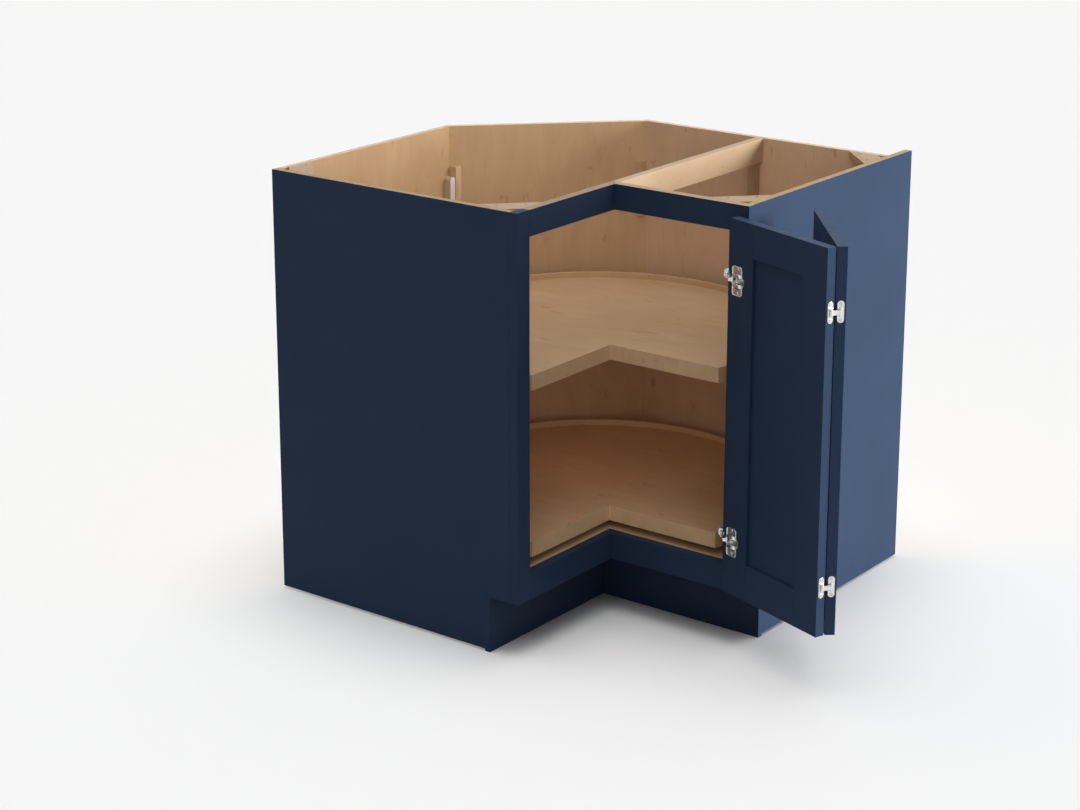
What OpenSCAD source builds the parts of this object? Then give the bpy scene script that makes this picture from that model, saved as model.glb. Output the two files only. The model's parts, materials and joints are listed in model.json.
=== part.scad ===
// Corner base cabinet with two turntable shelves and a folding two-leaf door.
// Millimetres. The room corner at floor level is the origin and +Z is up.
// One wing runs along +X, the other along -Y. Plans are drawn with u = X and
// v = -Y, so both wings are positive, and on_floor_plan() turns them into place.
// The door is drawn shut and then carried to the folded-back rest pose.

/* [Cabinet] */
// Length of each wing along its wall
wall_run = 914.4; // [905:0.1:960]
// Depth of each wing from its wall to the frame's front
wing_depth = 609.6; // [600:0.1:620]
// Height of the end panels
side_height = 876.3; // [850:0.1:900]
// Gap under the end panels, closed by the kick boards
side_lift = 5; // [2:0.5:10]
// Thickness of the end panels
side_thickness = 15.9; // [12:0.1:18]
// Thickness of the back panels
back_thickness = 12.7; // [9:0.1:14]
// Distance of the right back panel from its wall
right_back_inset = 66.7; // [40:0.1:75]
// Where the diagonal back meets the left wall, counted from the corner
corner_clip = 375.5; // [340:0.5:385]

/* [Face frame] */
// Thickness of the face frame
frame_thickness = 19.05; // [16:0.05:22]
// Width of the left stile
left_stile_width = 38.1; // [34:0.1:44]
// Width of the right stile, which carries the door
right_stile_width = 42.4; // [40:0.1:46]
// Height of the top rails
top_rail_height = 50.8; // [40:0.1:60]
// Height of the bottom rails
bottom_rail_height = 54; // [46:0.1:60]

/* [Toe kick and floor] */
// Height of the toe space
kick_height = 114.3; // [95:0.1:125]
// Depth of the toe space behind the frame's front
kick_setback = 68.6; // [55:0.1:80]
// Thickness of the kick boards
kick_board_thickness = 12; // [9:0.1:15]
// Thickness of the cabinet floor
floor_thickness = 15.9; // [12:0.1:18]

/* [Top bracing] */
// Thickness of the stretcher
stretcher_thickness = 19; // [15:0.1:22]
// Height of the stretcher
stretcher_height = 50.8; // [40:0.1:60]
// Side of the square cleat under the stretcher
cleat_side = 19; // [15:0.5:22]
// Distance of that cleat behind the frame's front
cleat_inset = 7.6; // [0:0.1:12]
// Leg of the triangular corner braces
brace_leg = 85; // [70:1:100]
// Clipped length at each brace's square corner
brace_clip = 19.5; // [10:0.5:26]
// Thickness of the corner braces
brace_thickness = 12.7; // [9:0.1:18]
// Radius of the fixing holes in the braces
brace_hole_radius = 2.5; // [2:0.1:4]
// Leg of the triangular strips in the back joints
strip_leg = 17; // [12:0.5:22]
// Height of the triangular strips in the back joints
strip_height = 120; // [90:1:200]
// Distance of the strips' tops below the cabinet's top
strip_drop = 86.8; // [60:0.1:110]
// Width of the white joint clips
clip_width = 16; // [12:0.5:20]
// Thickness of the white joint clips
clip_thickness = 15; // [10:0.5:18]
// Height of the white joint clips
clip_height = 55.6; // [45:0.1:62]
// Distance of the clips' tops below the cabinet's top
clip_drop = 107.7; // [95:0.1:125]

/* [Carousels] */
// How far the notch's faces stand out from the turning centre
notch_offset = 101; // [95:0.5:108]
// Gap between a carousel and the fixed piece nearest to its path
carousel_gap = 24.46; // [20:0.01:40]
// Running gap between the frame's back and the notch
notch_gap = 4.55; // [3:0.05:8]
// Thickness of the decks
deck_thickness = 19; // [15:0.1:22]
// Height of the edge bands
band_height = 31; // [27:0.1:34]
// Thickness of the straight bands in the notch
front_band_thickness = 8; // [6:0.1:11]
// Thickness of the bent round band
round_band_thickness = 6; // [4:0.1:8]
// Height of the round band's lip above the deck
lip_height = 12; // [6:0.5:18]
// Distance of the lip's ends behind the notch's faces
lip_setback = 75; // [60:1:120]
// Height of the upper deck's top above the floor
upper_deck_height = 550.5; // [545:0.5:570]
// Thickness of the disc between the upper swivel and its deck
upper_spacer_height = 8.2; // [6:0.1:20]
// Thickness of the disc between the lower swivel and its deck
lower_spacer_height = 19; // [12:0.1:30]
// Thickness of the fixed shelf
shelf_thickness = 12.7; // [10:0.1:19]
// How far the shelf's front stands behind the frame's front
shelf_setback = 69.6; // [66:0.1:90]
// Side of the square cleats under the shelf and floor
shelf_cleat_side = 19; // [14:0.5:24]

/* [Swivel bearings] */
// Radius of the base plates
swivel_radius = 76; // [72:0.5:90]
// Radius of the ball circle
ball_circle_radius = 60; // [50:0.5:62]
// Radius of the balls
ball_radius = 2.2; // [2:0.05:2.3]
// Number of balls in each bearing
ball_count = 16; // [12:1:20]
// Thickness of each swivel plate
swivel_plate = 3.2; // [2.8:0.05:3.3]
// Radius of the centre boss
boss_radius = 12; // [9:0.5:18]
// Running clearance of the boss and the balls
running_gap = 0.05; // [0.02:0.01:0.09]

/* [Door] */
// Thickness of the door leaves
leaf_thickness = 19.05; // [18:0.05:20]
// Width of the leaves' stiles as a share of the leaf's width
leaf_stile_share = 0.2426; // [0.2:0.0001:0.28]
// Height of the leaves' top rails
leaf_top_rail = 65; // [55:0.5:75]
// Height of the leaves' bottom rails
leaf_bottom_rail = 71; // [60:0.5:80]
// Thickness of the leaves' flat panels
leaf_panel = 6.35; // [5:0.05:8]
// Depth of the panel's tongue in the frame
panel_tongue = 8; // [5:0.5:10]
// Spare depth of the groove behind the tongue
groove_spare = 1; // [0.5:0.1:2]
// Gap between the shut door and the frame
door_gap = 2.5; // [2.3:0.05:3]
// Distance of the door's top below the cabinet's top
door_top_margin = 19.3; // [12:0.1:28]
// Distance of the door's bottom above the toe space
door_bottom_margin = 11.1; // [6:0.1:18]
// Distance of the shut door from the right end
door_end_margin = 4.12; // [3:0.02:5]
// Turn of a leaf from shut to the rest pose
leaf_angle = 161.55; // [155:0.05:165]
// Turn of the hinge arm from shut to the rest pose
arm_angle = 47.3069; // [46:0.01:48]
// Turn at each fold pin from shut to the rest pose
fold_angle = 29.175; // [25:0.025:33]

/* [Door hinges] */
// Distance of the upper hinge below the door's top
hinge_top_inset = 116.4; // [100:0.1:150]
// Distance of the lower hinge above the door's bottom
hinge_bottom_inset = 106; // [95:0.1:150]
// Radius of the cups
cup_radius = 17.5; // [17:0.05:18]
// Depth of the cups
cup_depth = 12; // [11.5:0.1:13]
// Distance of the cup's centre from the leaf's end
cup_inset = 22.5; // [22:0.1:23]
// Wall of the pressed cup
cup_wall = 1; // [0.8:0.05:1.2]
// Height of the cup's flange
flange_height = 57; // [50:0.5:64]
// Width of the cup's flange
flange_width = 28; // [24:0.5:29]
// Thickness of the cup's flange
flange_thickness = 0.6; // [0.5:0.05:0.7]
// Distance of the frame pivot past the stile's edge
arm_pivot_offset = 2; // [1.9:0.01:2.1]
// Distance of the frame pivot in front of the frame
arm_pivot_reach = 8.206; // [8.1:0.001:8.3]
// Distance of the leaf pivot from the leaf's end
leaf_pivot_inset = 6; // [5.8:0.05:6.2]
// Depth of the leaf pivot behind the leaf's back face
leaf_pivot_depth = 1; // [0.9:0.05:1.1]
// Thickness of the hinge arm
arm_thickness = 2.4; // [2:0.1:2.6]
// Half height of the hinge arm
arm_half_height = 3.1; // [2.6:0.1:3.4]
// Length of the arm's bent neck
neck_length = 6.5; // [6.2:0.1:6.8]
// Height of the block on the stile's edge
block_height = 15; // [12:0.5:24]
// How far the block stands inside the opening
block_reach = 9; // [7:0.1:10]
// Thickness of the strap from the block to the ears
strap_thickness = 1.8; // [1.5:0.1:1.9]
// Radius of the ears around the frame pivot
ear_radius = 3.2; // [2.8:0.1:3.3]
// Height of each ear
ear_height = 2.2; // [1.8:0.1:2.4]
// Height of each lug around the leaf pivot
lug_height = 1.9; // [1.5:0.1:2]
// Gap between the arm and its ears or lugs
lug_gap = 0.1; // [0.05:0.01:0.2]
// Gap between the ears and the pocket's end wall
pocket_gap = 1; // [0.8:0.1:1.3]
// Wood left between the pocket and the leaf's end
pocket_end_wall = 2.1; // [1.8:0.1:2.3]
// Radius of the frame pivot's pin
arm_pin_radius = 1.5; // [1.2:0.05:1.8]
// Radius of the leaf pivot's pin
leaf_pin_radius = 1.1; // [0.9:0.05:1.2]
// Corner radius of the flange
flange_corner = 6; // [3:0.5:9]
// Distance of a cup screw from the flange's end
cup_screw_inset = 5; // [4:0.1:7]
// Radius of the cup screws
cup_screw_radius = 1.6; // [1.3:0.05:1.9]
// Length of the cup screws
cup_screw_length = 11; // [9:0.5:14]
// Radius of the block screws
mount_screw_radius = 1.8; // [1.5:0.05:2.2]
// Grip of the block screws in the stile
mount_screw_grip = 18; // [14:0.5:25]

/* [Fold hinges] */
// Distance of the upper fold hinge below the door's top
link_top_inset = 119; // [100:0.1:150]
// Distance of the lower fold hinge above the door's bottom
link_bottom_inset = 95.6; // [80:0.1:130]
// Height of the fold plates
plate_height = 41; // [36:0.5:48]
// Width of the fold plates
plate_width = 12.5; // [11:0.1:15]
// Thickness of the fold plates
plate_thickness = 1.2; // [1:0.05:1.4]
// Distance of the fold pins from the leaves' ends
pin_reach = 3.5; // [3.4:0.05:3.6]
// Distance between the two fold pins
link_length = 18.6; // [18:0.1:19]
// Height of the link bar
link_height = 9.4; // [8:0.1:11]
// Radius of the fold pins
fold_pin_radius = 1.1; // [0.9:0.05:1.2]
// Wall of the plates' ears around a pin
ear_wall = 1.2; // [1:0.1:1.4]
// Height of each of those ears
fold_ear_height = 3.2; // [2.5:0.1:4]
// Distance of a plate screw from the plate's end
plate_screw_inset = 5.2; // [4.5:0.1:6]
// Radius of the plate screws
plate_screw_radius = 1.4; // [1.2:0.05:1.6]
// Length of the plate screws
plate_screw_length = 15; // [12:0.5:18]
// Gap between a link bar's eye and the plate behind it
eye_gap = 0.15; // [0.1:0.05:0.3]

/* [Hidden] */
$fn = 64;

paint = [0.13, 0.17, 0.24];
maple = [0.76, 0.60, 0.44];
zinc = [0.72, 0.73, 0.74];
white_plastic = [0.93, 0.92, 0.90];
clear_rubber = [0.80, 0.80, 0.78];

// Small allowances: how far a cutter overshoots, and the steps of small parts
overcut = 1;
brace_hole_shares = [0.62, 0.16];
clip_joint_gap = 0.5;
swivel_gap = 1.9;
swivel_step = 4;
boss_drop = 0.5;
cage_gap = 0.3;
cage_half_width = 4;
pocket_side_room = 0.15;
pocket_floor_step = 1.6;
arm_eye_radius = 2.9;
leaf_eye_radius = 2.1;
neck_bearing = 95;
lug_stand = 1.2;
lug_root = 6;
link_bar_share = 1.6;
// Radius and height of the heads of the block, cup and plate screws
mount_head = [3.6, 1.6];
cup_head = [3.2, 1.1];
plate_head = [2.9, 1];
// Width of a screw's cross as a share of the head's radius, and its half slit
cross_shares = [0.65, 0.13];
// Door bumpers: distance from the leaf's corner, height and radius
bumper_inset = 14;
bumper_height = 2;
bumper_radius = 4;

cabinet_top = side_lift + side_height;
frame_back = wing_depth - frame_thickness;
side_inner = wall_run - side_thickness;
opening_top = cabinet_top - top_rail_height;
floor_top = kick_height + bottom_rail_height;
floor_under = floor_top - floor_thickness;
kick_face = wing_depth - kick_setback;
kick_back = kick_face - kick_board_thickness;

// Back panels: their inner faces and the corners where they meet
right_back_inner = right_back_inset + back_thickness;
diagonal_inner = corner_clip + back_thickness * sqrt(2);
left_joint_inner = diagonal_inner - back_thickness;
right_joint_outer = corner_clip - right_back_inset;
right_joint_inner = diagonal_inner - right_back_inner;

// Carousels
notch = frame_back - notch_gap;
carousel_center = notch - notch_offset;
swivel_height = swivel_plate * 2 + swivel_gap;
ball_level = swivel_height / 2;
shelf_height = upper_deck_height - deck_thickness - upper_spacer_height - swivel_height;
lower_deck_height = floor_top + swivel_height + lower_spacer_height + deck_thickness;
shelf_front = wing_depth - shelf_setback;

// Room from the turning centre to each fixed piece around a carousel
stile_edge = wall_run - right_stile_width;
hinge_room = norm([stile_edge - block_reach - carousel_center, frame_back - carousel_center]);
wall_room = carousel_center - right_back_inner;
diagonal_room = (carousel_center * 2 - diagonal_inner) / sqrt(2);
cleat_front = wing_depth - cleat_inset;
cleat_room = norm([cleat_front - cleat_side - carousel_center,
  right_back_inner + cleat_side - carousel_center]);
carousel_radius = min(hinge_room, wall_room, diagonal_room, cleat_room) - carousel_gap;

// Shut door: plan positions of its faces, ends and pivots
leaf_back = wing_depth + door_gap;
leaf_front = leaf_back + leaf_thickness;
leaf_middle = leaf_back + leaf_thickness / 2;
fold_end = leaf_middle + pin_reach + link_length / sqrt(2);
hinge_end = wall_run - door_end_margin;
door_low = kick_height + door_bottom_margin;
door_high = cabinet_top - door_top_margin;
near_pin = [fold_end - pin_reach, leaf_middle];
far_pin = [leaf_middle, fold_end - pin_reach];
arm_pivot = [stile_edge + arm_pivot_offset, wing_depth + arm_pivot_reach];
leaf_pivot = [hinge_end - leaf_pivot_inset, leaf_back + leaf_pivot_depth];
hinge_levels = [door_high - hinge_top_inset, door_low + hinge_bottom_inset];
link_levels = [door_high - link_top_inset, door_low + link_bottom_inset];
cup_center = hinge_end - cup_inset;

// Pocket for the hinge arm, around both pivots
pocket_low = arm_pivot[0] - ear_radius - pocket_gap - cup_wall;
pocket_high = hinge_end - pocket_end_wall;
pocket_half = arm_half_height + lug_gap + ear_height + pocket_side_room + cup_wall;
pocket_depth = cup_depth - pocket_floor_step;

// The leaf's stile is at least wide enough for the pocket and the panel's groove
stile_least = hinge_end - pocket_low + panel_tongue + groove_spare + cup_wall * 3;
leaf_stile = max((hinge_end - fold_end) * leaf_stile_share, stile_least);
link_eye = pin_reach - plate_thickness - eye_gap;

// ---- helpers -------------------------------------------------------------

module on_floor_plan() {
  mirror([0, 1, 0]) children();
}

module other_wing() {
  mirror([1, -1, 0]) children();
}

module upright(low, high) {
  translate([0, 0, low]) linear_extrude(height = high - low) children();
}

module block(u1, u2, v1, v2, z1, z2) {
  translate([u1, v1, z1]) cube([u2 - u1, v2 - v1, z2 - z1]);
}

module turn_about(point, angle) {
  translate([point[0], point[1], 0]) rotate([0, 0, angle])
    translate([-point[0], -point[1], 0]) children();
}

// A pan-head screw along +Z, its head below zero and cut with a cross
module cross_screw(radius, length, head) {
  head_radius = head[0];
  head_height = head[1];
  arm = head_radius * cross_shares[0];
  slit = head_radius * cross_shares[1];
  difference() {
    union() {
      cylinder(r = radius, h = length);
      translate([0, 0, -head_height]) cylinder(r = head_radius, h = head_height);
    }
    translate([-arm, -slit, -head_height * 1.5])
      cube([arm * 2, slit * 2, head_height]);
    translate([-slit, -arm, -head_height * 1.5])
      cube([slit * 2, arm * 2, head_height]);
  }
}

// Carries the shut hinge arm to its rest pose
module arm_at_rest() {
  turn_about(arm_pivot, arm_angle) children();
}

// Carries the shut near leaf to its rest pose
module near_leaf_at_rest() {
  arm_at_rest() turn_about(leaf_pivot, -leaf_angle - arm_angle) children();
}

module links_at_rest() {
  near_leaf_at_rest() turn_about(near_pin, -fold_angle) children();
}

module far_leaf_at_rest() {
  links_at_rest() turn_about(far_pin, -fold_angle) children();
}

// ---- carcass -------------------------------------------------------------

module end_panel_shape(wall_side) {
  difference() {
    block(wall_side, frame_back, side_inner, wall_run, side_lift, cabinet_top);
    block(kick_back, wing_depth + overcut, side_inner - overcut, wall_run + overcut,
      0, kick_height);
  }
}

module left_end_panel() {
  color(paint) on_floor_plan() end_panel_shape(0);
}

module right_end_panel() {
  color(paint) on_floor_plan() other_wing() end_panel_shape(0);
}

module left_back_panel() {
  color(maple) on_floor_plan() upright(0, cabinet_top)
    polygon([[0, corner_clip], [back_thickness, left_joint_inner],
      [back_thickness, side_inner], [0, side_inner]]);
}

module right_back_panel() {
  color(maple) on_floor_plan() upright(0, cabinet_top)
    polygon([[right_joint_outer, right_back_inset], [side_inner, right_back_inset],
      [side_inner, right_back_inner], [right_joint_inner, right_back_inner]]);
}

module diagonal_back_panel() {
  color(maple) on_floor_plan() upright(0, cabinet_top)
    polygon([[0, corner_clip], [right_joint_outer, right_back_inset],
      [right_joint_inner, right_back_inner], [back_thickness, left_joint_inner]]);
}

// Plan of a board that fills the carcass up to the given front line
module board_plan(front) {
  polygon([[back_thickness, left_joint_inner], [right_joint_inner, right_back_inner],
    [side_inner, right_back_inner], [side_inner, front], [front, front],
    [front, side_inner], [back_thickness, side_inner]]);
}

module cabinet_floor() {
  color(maple) on_floor_plan() upright(floor_under, floor_top) board_plan(frame_back);
}

module left_stile() {
  color(paint) on_floor_plan()
    block(frame_back, wing_depth, wall_run - left_stile_width, wall_run, kick_height, cabinet_top);
}

module right_stile() {
  color(paint) on_floor_plan() difference() {
    block(stile_edge, wall_run, frame_back, wing_depth, kick_height, cabinet_top);
    for (level = hinge_levels) stile_screw_hole(level);
  }
}

module stile_screw_hole(level) {
  translate([stile_edge - block_reach, frame_back + frame_thickness / 2, level])
    rotate([0, 90, 0]) cylinder(r = mount_screw_radius, h = block_reach + mount_screw_grip);
}

module rail_plan(end) {
  polygon([[frame_back, frame_back], [wing_depth, wing_depth],
    [wing_depth, end], [frame_back, end]]);
}

module left_top_rail() {
  color(paint) on_floor_plan() upright(opening_top, cabinet_top)
    rail_plan(wall_run - left_stile_width);
}

module right_top_rail() {
  color(paint) on_floor_plan() other_wing() upright(opening_top, cabinet_top)
    rail_plan(stile_edge);
}

module left_bottom_rail() {
  color(paint) on_floor_plan() upright(kick_height, floor_top)
    rail_plan(wall_run - left_stile_width);
}

module right_bottom_rail() {
  color(paint) on_floor_plan() other_wing() upright(kick_height, floor_top)
    rail_plan(stile_edge);
}

module kick_plan() {
  polygon([[kick_back, kick_back], [kick_face, kick_face],
    [kick_face, wall_run], [kick_back, wall_run]]);
}

module kick_board_shape() {
  difference() {
    upright(0, floor_under) kick_plan();
    block(kick_back - overcut, wing_depth, side_inner, wall_run + overcut,
      kick_height, floor_under + overcut);
  }
}

module left_kick_board() {
  color(paint) on_floor_plan() kick_board_shape();
}

module right_kick_board() {
  color(paint) on_floor_plan() other_wing() kick_board_shape();
}

module top_stretcher() {
  color(maple) on_floor_plan()
    block(wing_depth - stretcher_thickness, wing_depth, right_back_inner, frame_back,
      cabinet_top - stretcher_height, cabinet_top);
}

module stretcher_cleat() {
  color(maple) on_floor_plan()
    block(cleat_front - cleat_side, cleat_front, right_back_inner,
      right_back_inner + cleat_side, shelf_height, cabinet_top - stretcher_height);
}

// Plan of one brace with its square corner at the origin
module brace_plan() {
  difference() {
    polygon([[brace_clip, 0], [brace_leg, 0], [0, brace_leg], [0, brace_clip]]);
    translate(brace_leg * brace_hole_shares) circle(r = brace_hole_radius);
    translate(brace_leg * [brace_hole_shares[1], brace_hole_shares[0]])
      circle(r = brace_hole_radius);
  }
}

module corner_braces() {
  color(maple) on_floor_plan() upright(cabinet_top - brace_thickness, cabinet_top) {
    translate([back_thickness, side_inner]) rotate(-90) brace_plan();
    translate([frame_back, side_inner]) rotate(180) brace_plan();
    translate([side_inner, frame_back]) rotate(180) brace_plan();
    translate([side_inner, right_back_inner]) rotate(90) brace_plan();
  }
}

module back_joint_strips() {
  strip_top = cabinet_top - strip_drop;
  color(maple) on_floor_plan() upright(strip_top - strip_height, strip_top) strip_plans();
}

module strip_plans() {
  polygon([[back_thickness, left_joint_inner],
    [back_thickness + strip_leg, left_joint_inner - strip_leg],
    [back_thickness + strip_leg, left_joint_inner]]);
  polygon([[right_joint_inner, right_back_inner],
    [right_joint_inner, right_back_inner + strip_leg],
    [right_joint_inner - strip_leg, right_back_inner + strip_leg]]);
}

// One clip with a rounded top, standing on a wall at v = 0
module joint_clip() {
  radius = clip_width / 2;
  rotate([90, 0, 0]) mirror([0, 0, 1]) linear_extrude(height = clip_thickness) union() {
    translate([0, clip_height - radius]) circle(r = radius);
    translate([0, radius]) circle(r = radius);
    translate([-radius, radius]) square([clip_width, clip_height - clip_width]);
  }
}

module back_joint_clips() {
  clip_low = cabinet_top - clip_drop - clip_height;
  from_joint = clip_width / 2 + clip_joint_gap;
  color(white_plastic) on_floor_plan() {
    translate([back_thickness, left_joint_inner + from_joint, clip_low])
      rotate([0, 0, -90]) joint_clip();
    translate([right_joint_inner + from_joint, right_back_inner, clip_low])
      joint_clip();
  }
}

module carousel_shelf() {
  color(maple) on_floor_plan() upright(shelf_height - shelf_thickness, shelf_height)
    board_plan(shelf_front);
}

// Cleats glued to the end panels and backs, under the shelf and the floor
module cleat_row(under) {
  low = under - shelf_cleat_side;
  side_low = side_inner - shelf_cleat_side;
  gap = shelf_cleat_side * 2;
  block(back_thickness + gap, shelf_front - gap, side_low, side_inner, low, under);
  block(side_low, side_inner, right_back_inner + gap, shelf_front - gap, low, under);
  block(back_thickness, back_thickness + shelf_cleat_side, left_joint_inner + gap * 2,
    side_inner - gap, low, under);
  block(right_joint_inner + gap * 2, side_inner - gap, right_back_inner,
    right_back_inner + shelf_cleat_side, low, under);
}

module shelf_cleats() {
  color(maple) on_floor_plan() {
    cleat_row(shelf_height - shelf_thickness);
    cleat_row(floor_under);
  }
}

// ---- swivel bearings -----------------------------------------------------

module ball_track() {
  rotate_extrude() translate([ball_circle_radius, ball_level])
    circle(r = ball_radius + running_gap);
}

module swivel_base() {
  difference() {
    union() {
      cylinder(r = swivel_radius, h = swivel_plate);
      cylinder(r = boss_radius, h = swivel_height - boss_drop);
    }
    ball_track();
  }
}

module swivel_top() {
  difference() {
    translate([0, 0, swivel_height - swivel_plate])
      cylinder(r = swivel_radius - swivel_step, h = swivel_plate);
    translate([0, 0, -overcut])
      cylinder(r = boss_radius + running_gap, h = swivel_height + overcut * 2);
    ball_track();
  }
}

module ball_ring() {
  cage = swivel_height - swivel_plate * 2 - cage_gap;
  translate([0, 0, ball_level - cage / 2]) difference() {
    cylinder(r = ball_circle_radius + cage_half_width, h = cage);
    translate([0, 0, -overcut])
      cylinder(r = ball_circle_radius - cage_half_width, h = cage + overcut * 2);
  }
  for (i = [0 : ball_count - 1]) rotate([0, 0, i * 360 / ball_count])
    translate([ball_circle_radius, 0, ball_level]) sphere(r = ball_radius);
}

module at_carousel(level) {
  translate([carousel_center, carousel_center, level]) children();
}

module lower_swivel_base() {
  color(zinc) on_floor_plan() at_carousel(floor_top) swivel_base();
}

module upper_swivel_base() {
  color(zinc) on_floor_plan() at_carousel(shelf_height) swivel_base();
}

module lower_swivel_top() {
  color(zinc) on_floor_plan() at_carousel(floor_top) swivel_top();
}

module upper_swivel_top() {
  color(zinc) on_floor_plan() at_carousel(shelf_height) swivel_top();
}

module lower_ball_ring() {
  color(zinc) on_floor_plan() at_carousel(floor_top) ball_ring();
}

module upper_ball_ring() {
  color(zinc) on_floor_plan() at_carousel(shelf_height) ball_ring();
}

// ---- carousels -----------------------------------------------------------

module round_plan(radius) {
  translate([carousel_center, carousel_center]) circle(r = radius);
}

module quadrant(corner) {
  translate([corner, corner]) square(wall_run);
}

module deck_plan() {
  difference() {
    round_plan(carousel_radius - round_band_thickness);
    quadrant(notch - front_band_thickness);
  }
}

module front_band_plan() {
  inner = notch - front_band_thickness;
  intersection() {
    round_plan(carousel_radius - round_band_thickness);
    union() {
      polygon([[inner, inner], [notch, notch], [notch, wall_run], [inner, wall_run]]);
      polygon([[inner, inner], [wall_run, inner], [wall_run, notch], [notch, notch]]);
    }
  }
}

module round_band_plan() {
  difference() {
    round_plan(carousel_radius);
    round_plan(carousel_radius - round_band_thickness);
    quadrant(notch);
  }
}

// The round band hangs from the deck, and its lip keeps goods from sliding off the back
module round_band(deck_top) {
  upright(deck_top - band_height, deck_top) round_band_plan();
  upright(deck_top, deck_top + lip_height) difference() {
    round_band_plan();
    quadrant(notch - lip_setback);
  }
}

module lower_deck() {
  color(maple) on_floor_plan()
    upright(lower_deck_height - deck_thickness, lower_deck_height) deck_plan();
}

module lower_front_bands() {
  color(maple) on_floor_plan()
    upright(lower_deck_height - band_height, lower_deck_height) front_band_plan();
}

module lower_round_band() {
  color(maple) on_floor_plan() round_band(lower_deck_height);
}

module lower_spacer() {
  color(maple) on_floor_plan() at_carousel(floor_top + swivel_height)
    cylinder(r = swivel_radius - swivel_step, h = lower_spacer_height);
}

module upper_deck() {
  color(maple) on_floor_plan()
    upright(upper_deck_height - deck_thickness, upper_deck_height) deck_plan();
}

module upper_front_bands() {
  color(maple) on_floor_plan()
    upright(upper_deck_height - band_height, upper_deck_height) front_band_plan();
}

module upper_round_band() {
  color(maple) on_floor_plan() round_band(upper_deck_height);
}

module upper_spacer() {
  color(maple) on_floor_plan() at_carousel(shelf_height + swivel_height)
    cylinder(r = swivel_radius - swivel_step, h = upper_spacer_height);
}

// ---- door hinges on the frame --------------------------------------------

module ear_plan() {
  translate(arm_pivot) circle(r = ear_radius);
  translate([arm_pivot[0] - ear_radius, wing_depth + strap_thickness / 2])
    square([ear_radius * 2, arm_pivot_reach - strap_thickness / 2]);
}

module hinge_mount(level) {
  ear_low = arm_half_height + lug_gap;
  difference() {
    union() {
      block(stile_edge - block_reach, stile_edge, frame_back, wing_depth,
        level - block_height / 2, level + block_height / 2);
      block(stile_edge - block_reach, arm_pivot[0] + ear_radius,
        wing_depth, wing_depth + strap_thickness,
        level - ear_low - ear_height, level + ear_low + ear_height);
      upright(level + ear_low, level + ear_low + ear_height) ear_plan();
      upright(level - ear_low - ear_height, level - ear_low) ear_plan();
    }
    translate([arm_pivot[0], arm_pivot[1], level - block_height / 2])
      cylinder(r = arm_pin_radius + running_gap, h = block_height);
    stile_screw_hole(level);
  }
}

module hinge_mounts() {
  color(zinc) on_floor_plan() for (level = hinge_levels) hinge_mount(level);
}

module hinge_mount_screws() {
  color(zinc) on_floor_plan() for (level = hinge_levels)
    translate([stile_edge - block_reach, frame_back + frame_thickness / 2, level])
      rotate([0, 90, 0])
        cross_screw(mount_screw_radius, block_reach + mount_screw_grip, mount_head);
}

// Plan of a straight bar between two points, square at its ends
module bar_plan(from, to, width) {
  reach = norm(to - from);
  bearing = atan2(to[1] - from[1], to[0] - from[0]);
  translate(from) rotate(bearing) translate([0, -width / 2]) square([reach, width]);
}

neck_end = leaf_pivot + neck_length * [cos(neck_bearing), sin(neck_bearing)];

module arm_plan() {
  union() {
    translate(arm_pivot) circle(r = arm_eye_radius);
    translate(leaf_pivot) circle(r = leaf_eye_radius);
    translate(neck_end) circle(r = arm_thickness / 2);
    bar_plan(leaf_pivot, neck_end, arm_thickness);
    bar_plan(neck_end, arm_pivot, arm_thickness);
  }
}

module hinge_arms() {
  color(zinc) on_floor_plan() arm_at_rest() for (level = hinge_levels)
    upright(level - arm_half_height, level + arm_half_height) difference() {
      arm_plan();
      translate(arm_pivot) circle(r = arm_pin_radius);
      translate(leaf_pivot) circle(r = leaf_pin_radius);
    }
}

module arm_pins() {
  arm_reach = arm_half_height + lug_gap + ear_height;
  leaf_reach = arm_half_height + lug_gap + lug_height;
  color(zinc) on_floor_plan() arm_at_rest() for (level = hinge_levels) {
    upright(level - arm_reach, level + arm_reach)
      translate(arm_pivot) circle(r = arm_pin_radius);
    upright(level - leaf_reach, level + leaf_reach)
      translate(leaf_pivot) circle(r = leaf_pin_radius);
  }
}

// ---- near leaf -----------------------------------------------------------

// Room for a cup and its arm pocket, cut into the leaf's back face
module cup_room(level, skin) {
  translate([cup_center, leaf_back - cup_wall, level]) rotate([-90, 0, 0])
    cylinder(r = cup_radius - skin, h = cup_depth + cup_wall - skin);
  block(pocket_low + skin, pocket_high, leaf_back - cup_wall, leaf_back + pocket_depth - skin,
    level - pocket_half + skin, level + pocket_half - skin);
}

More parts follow.
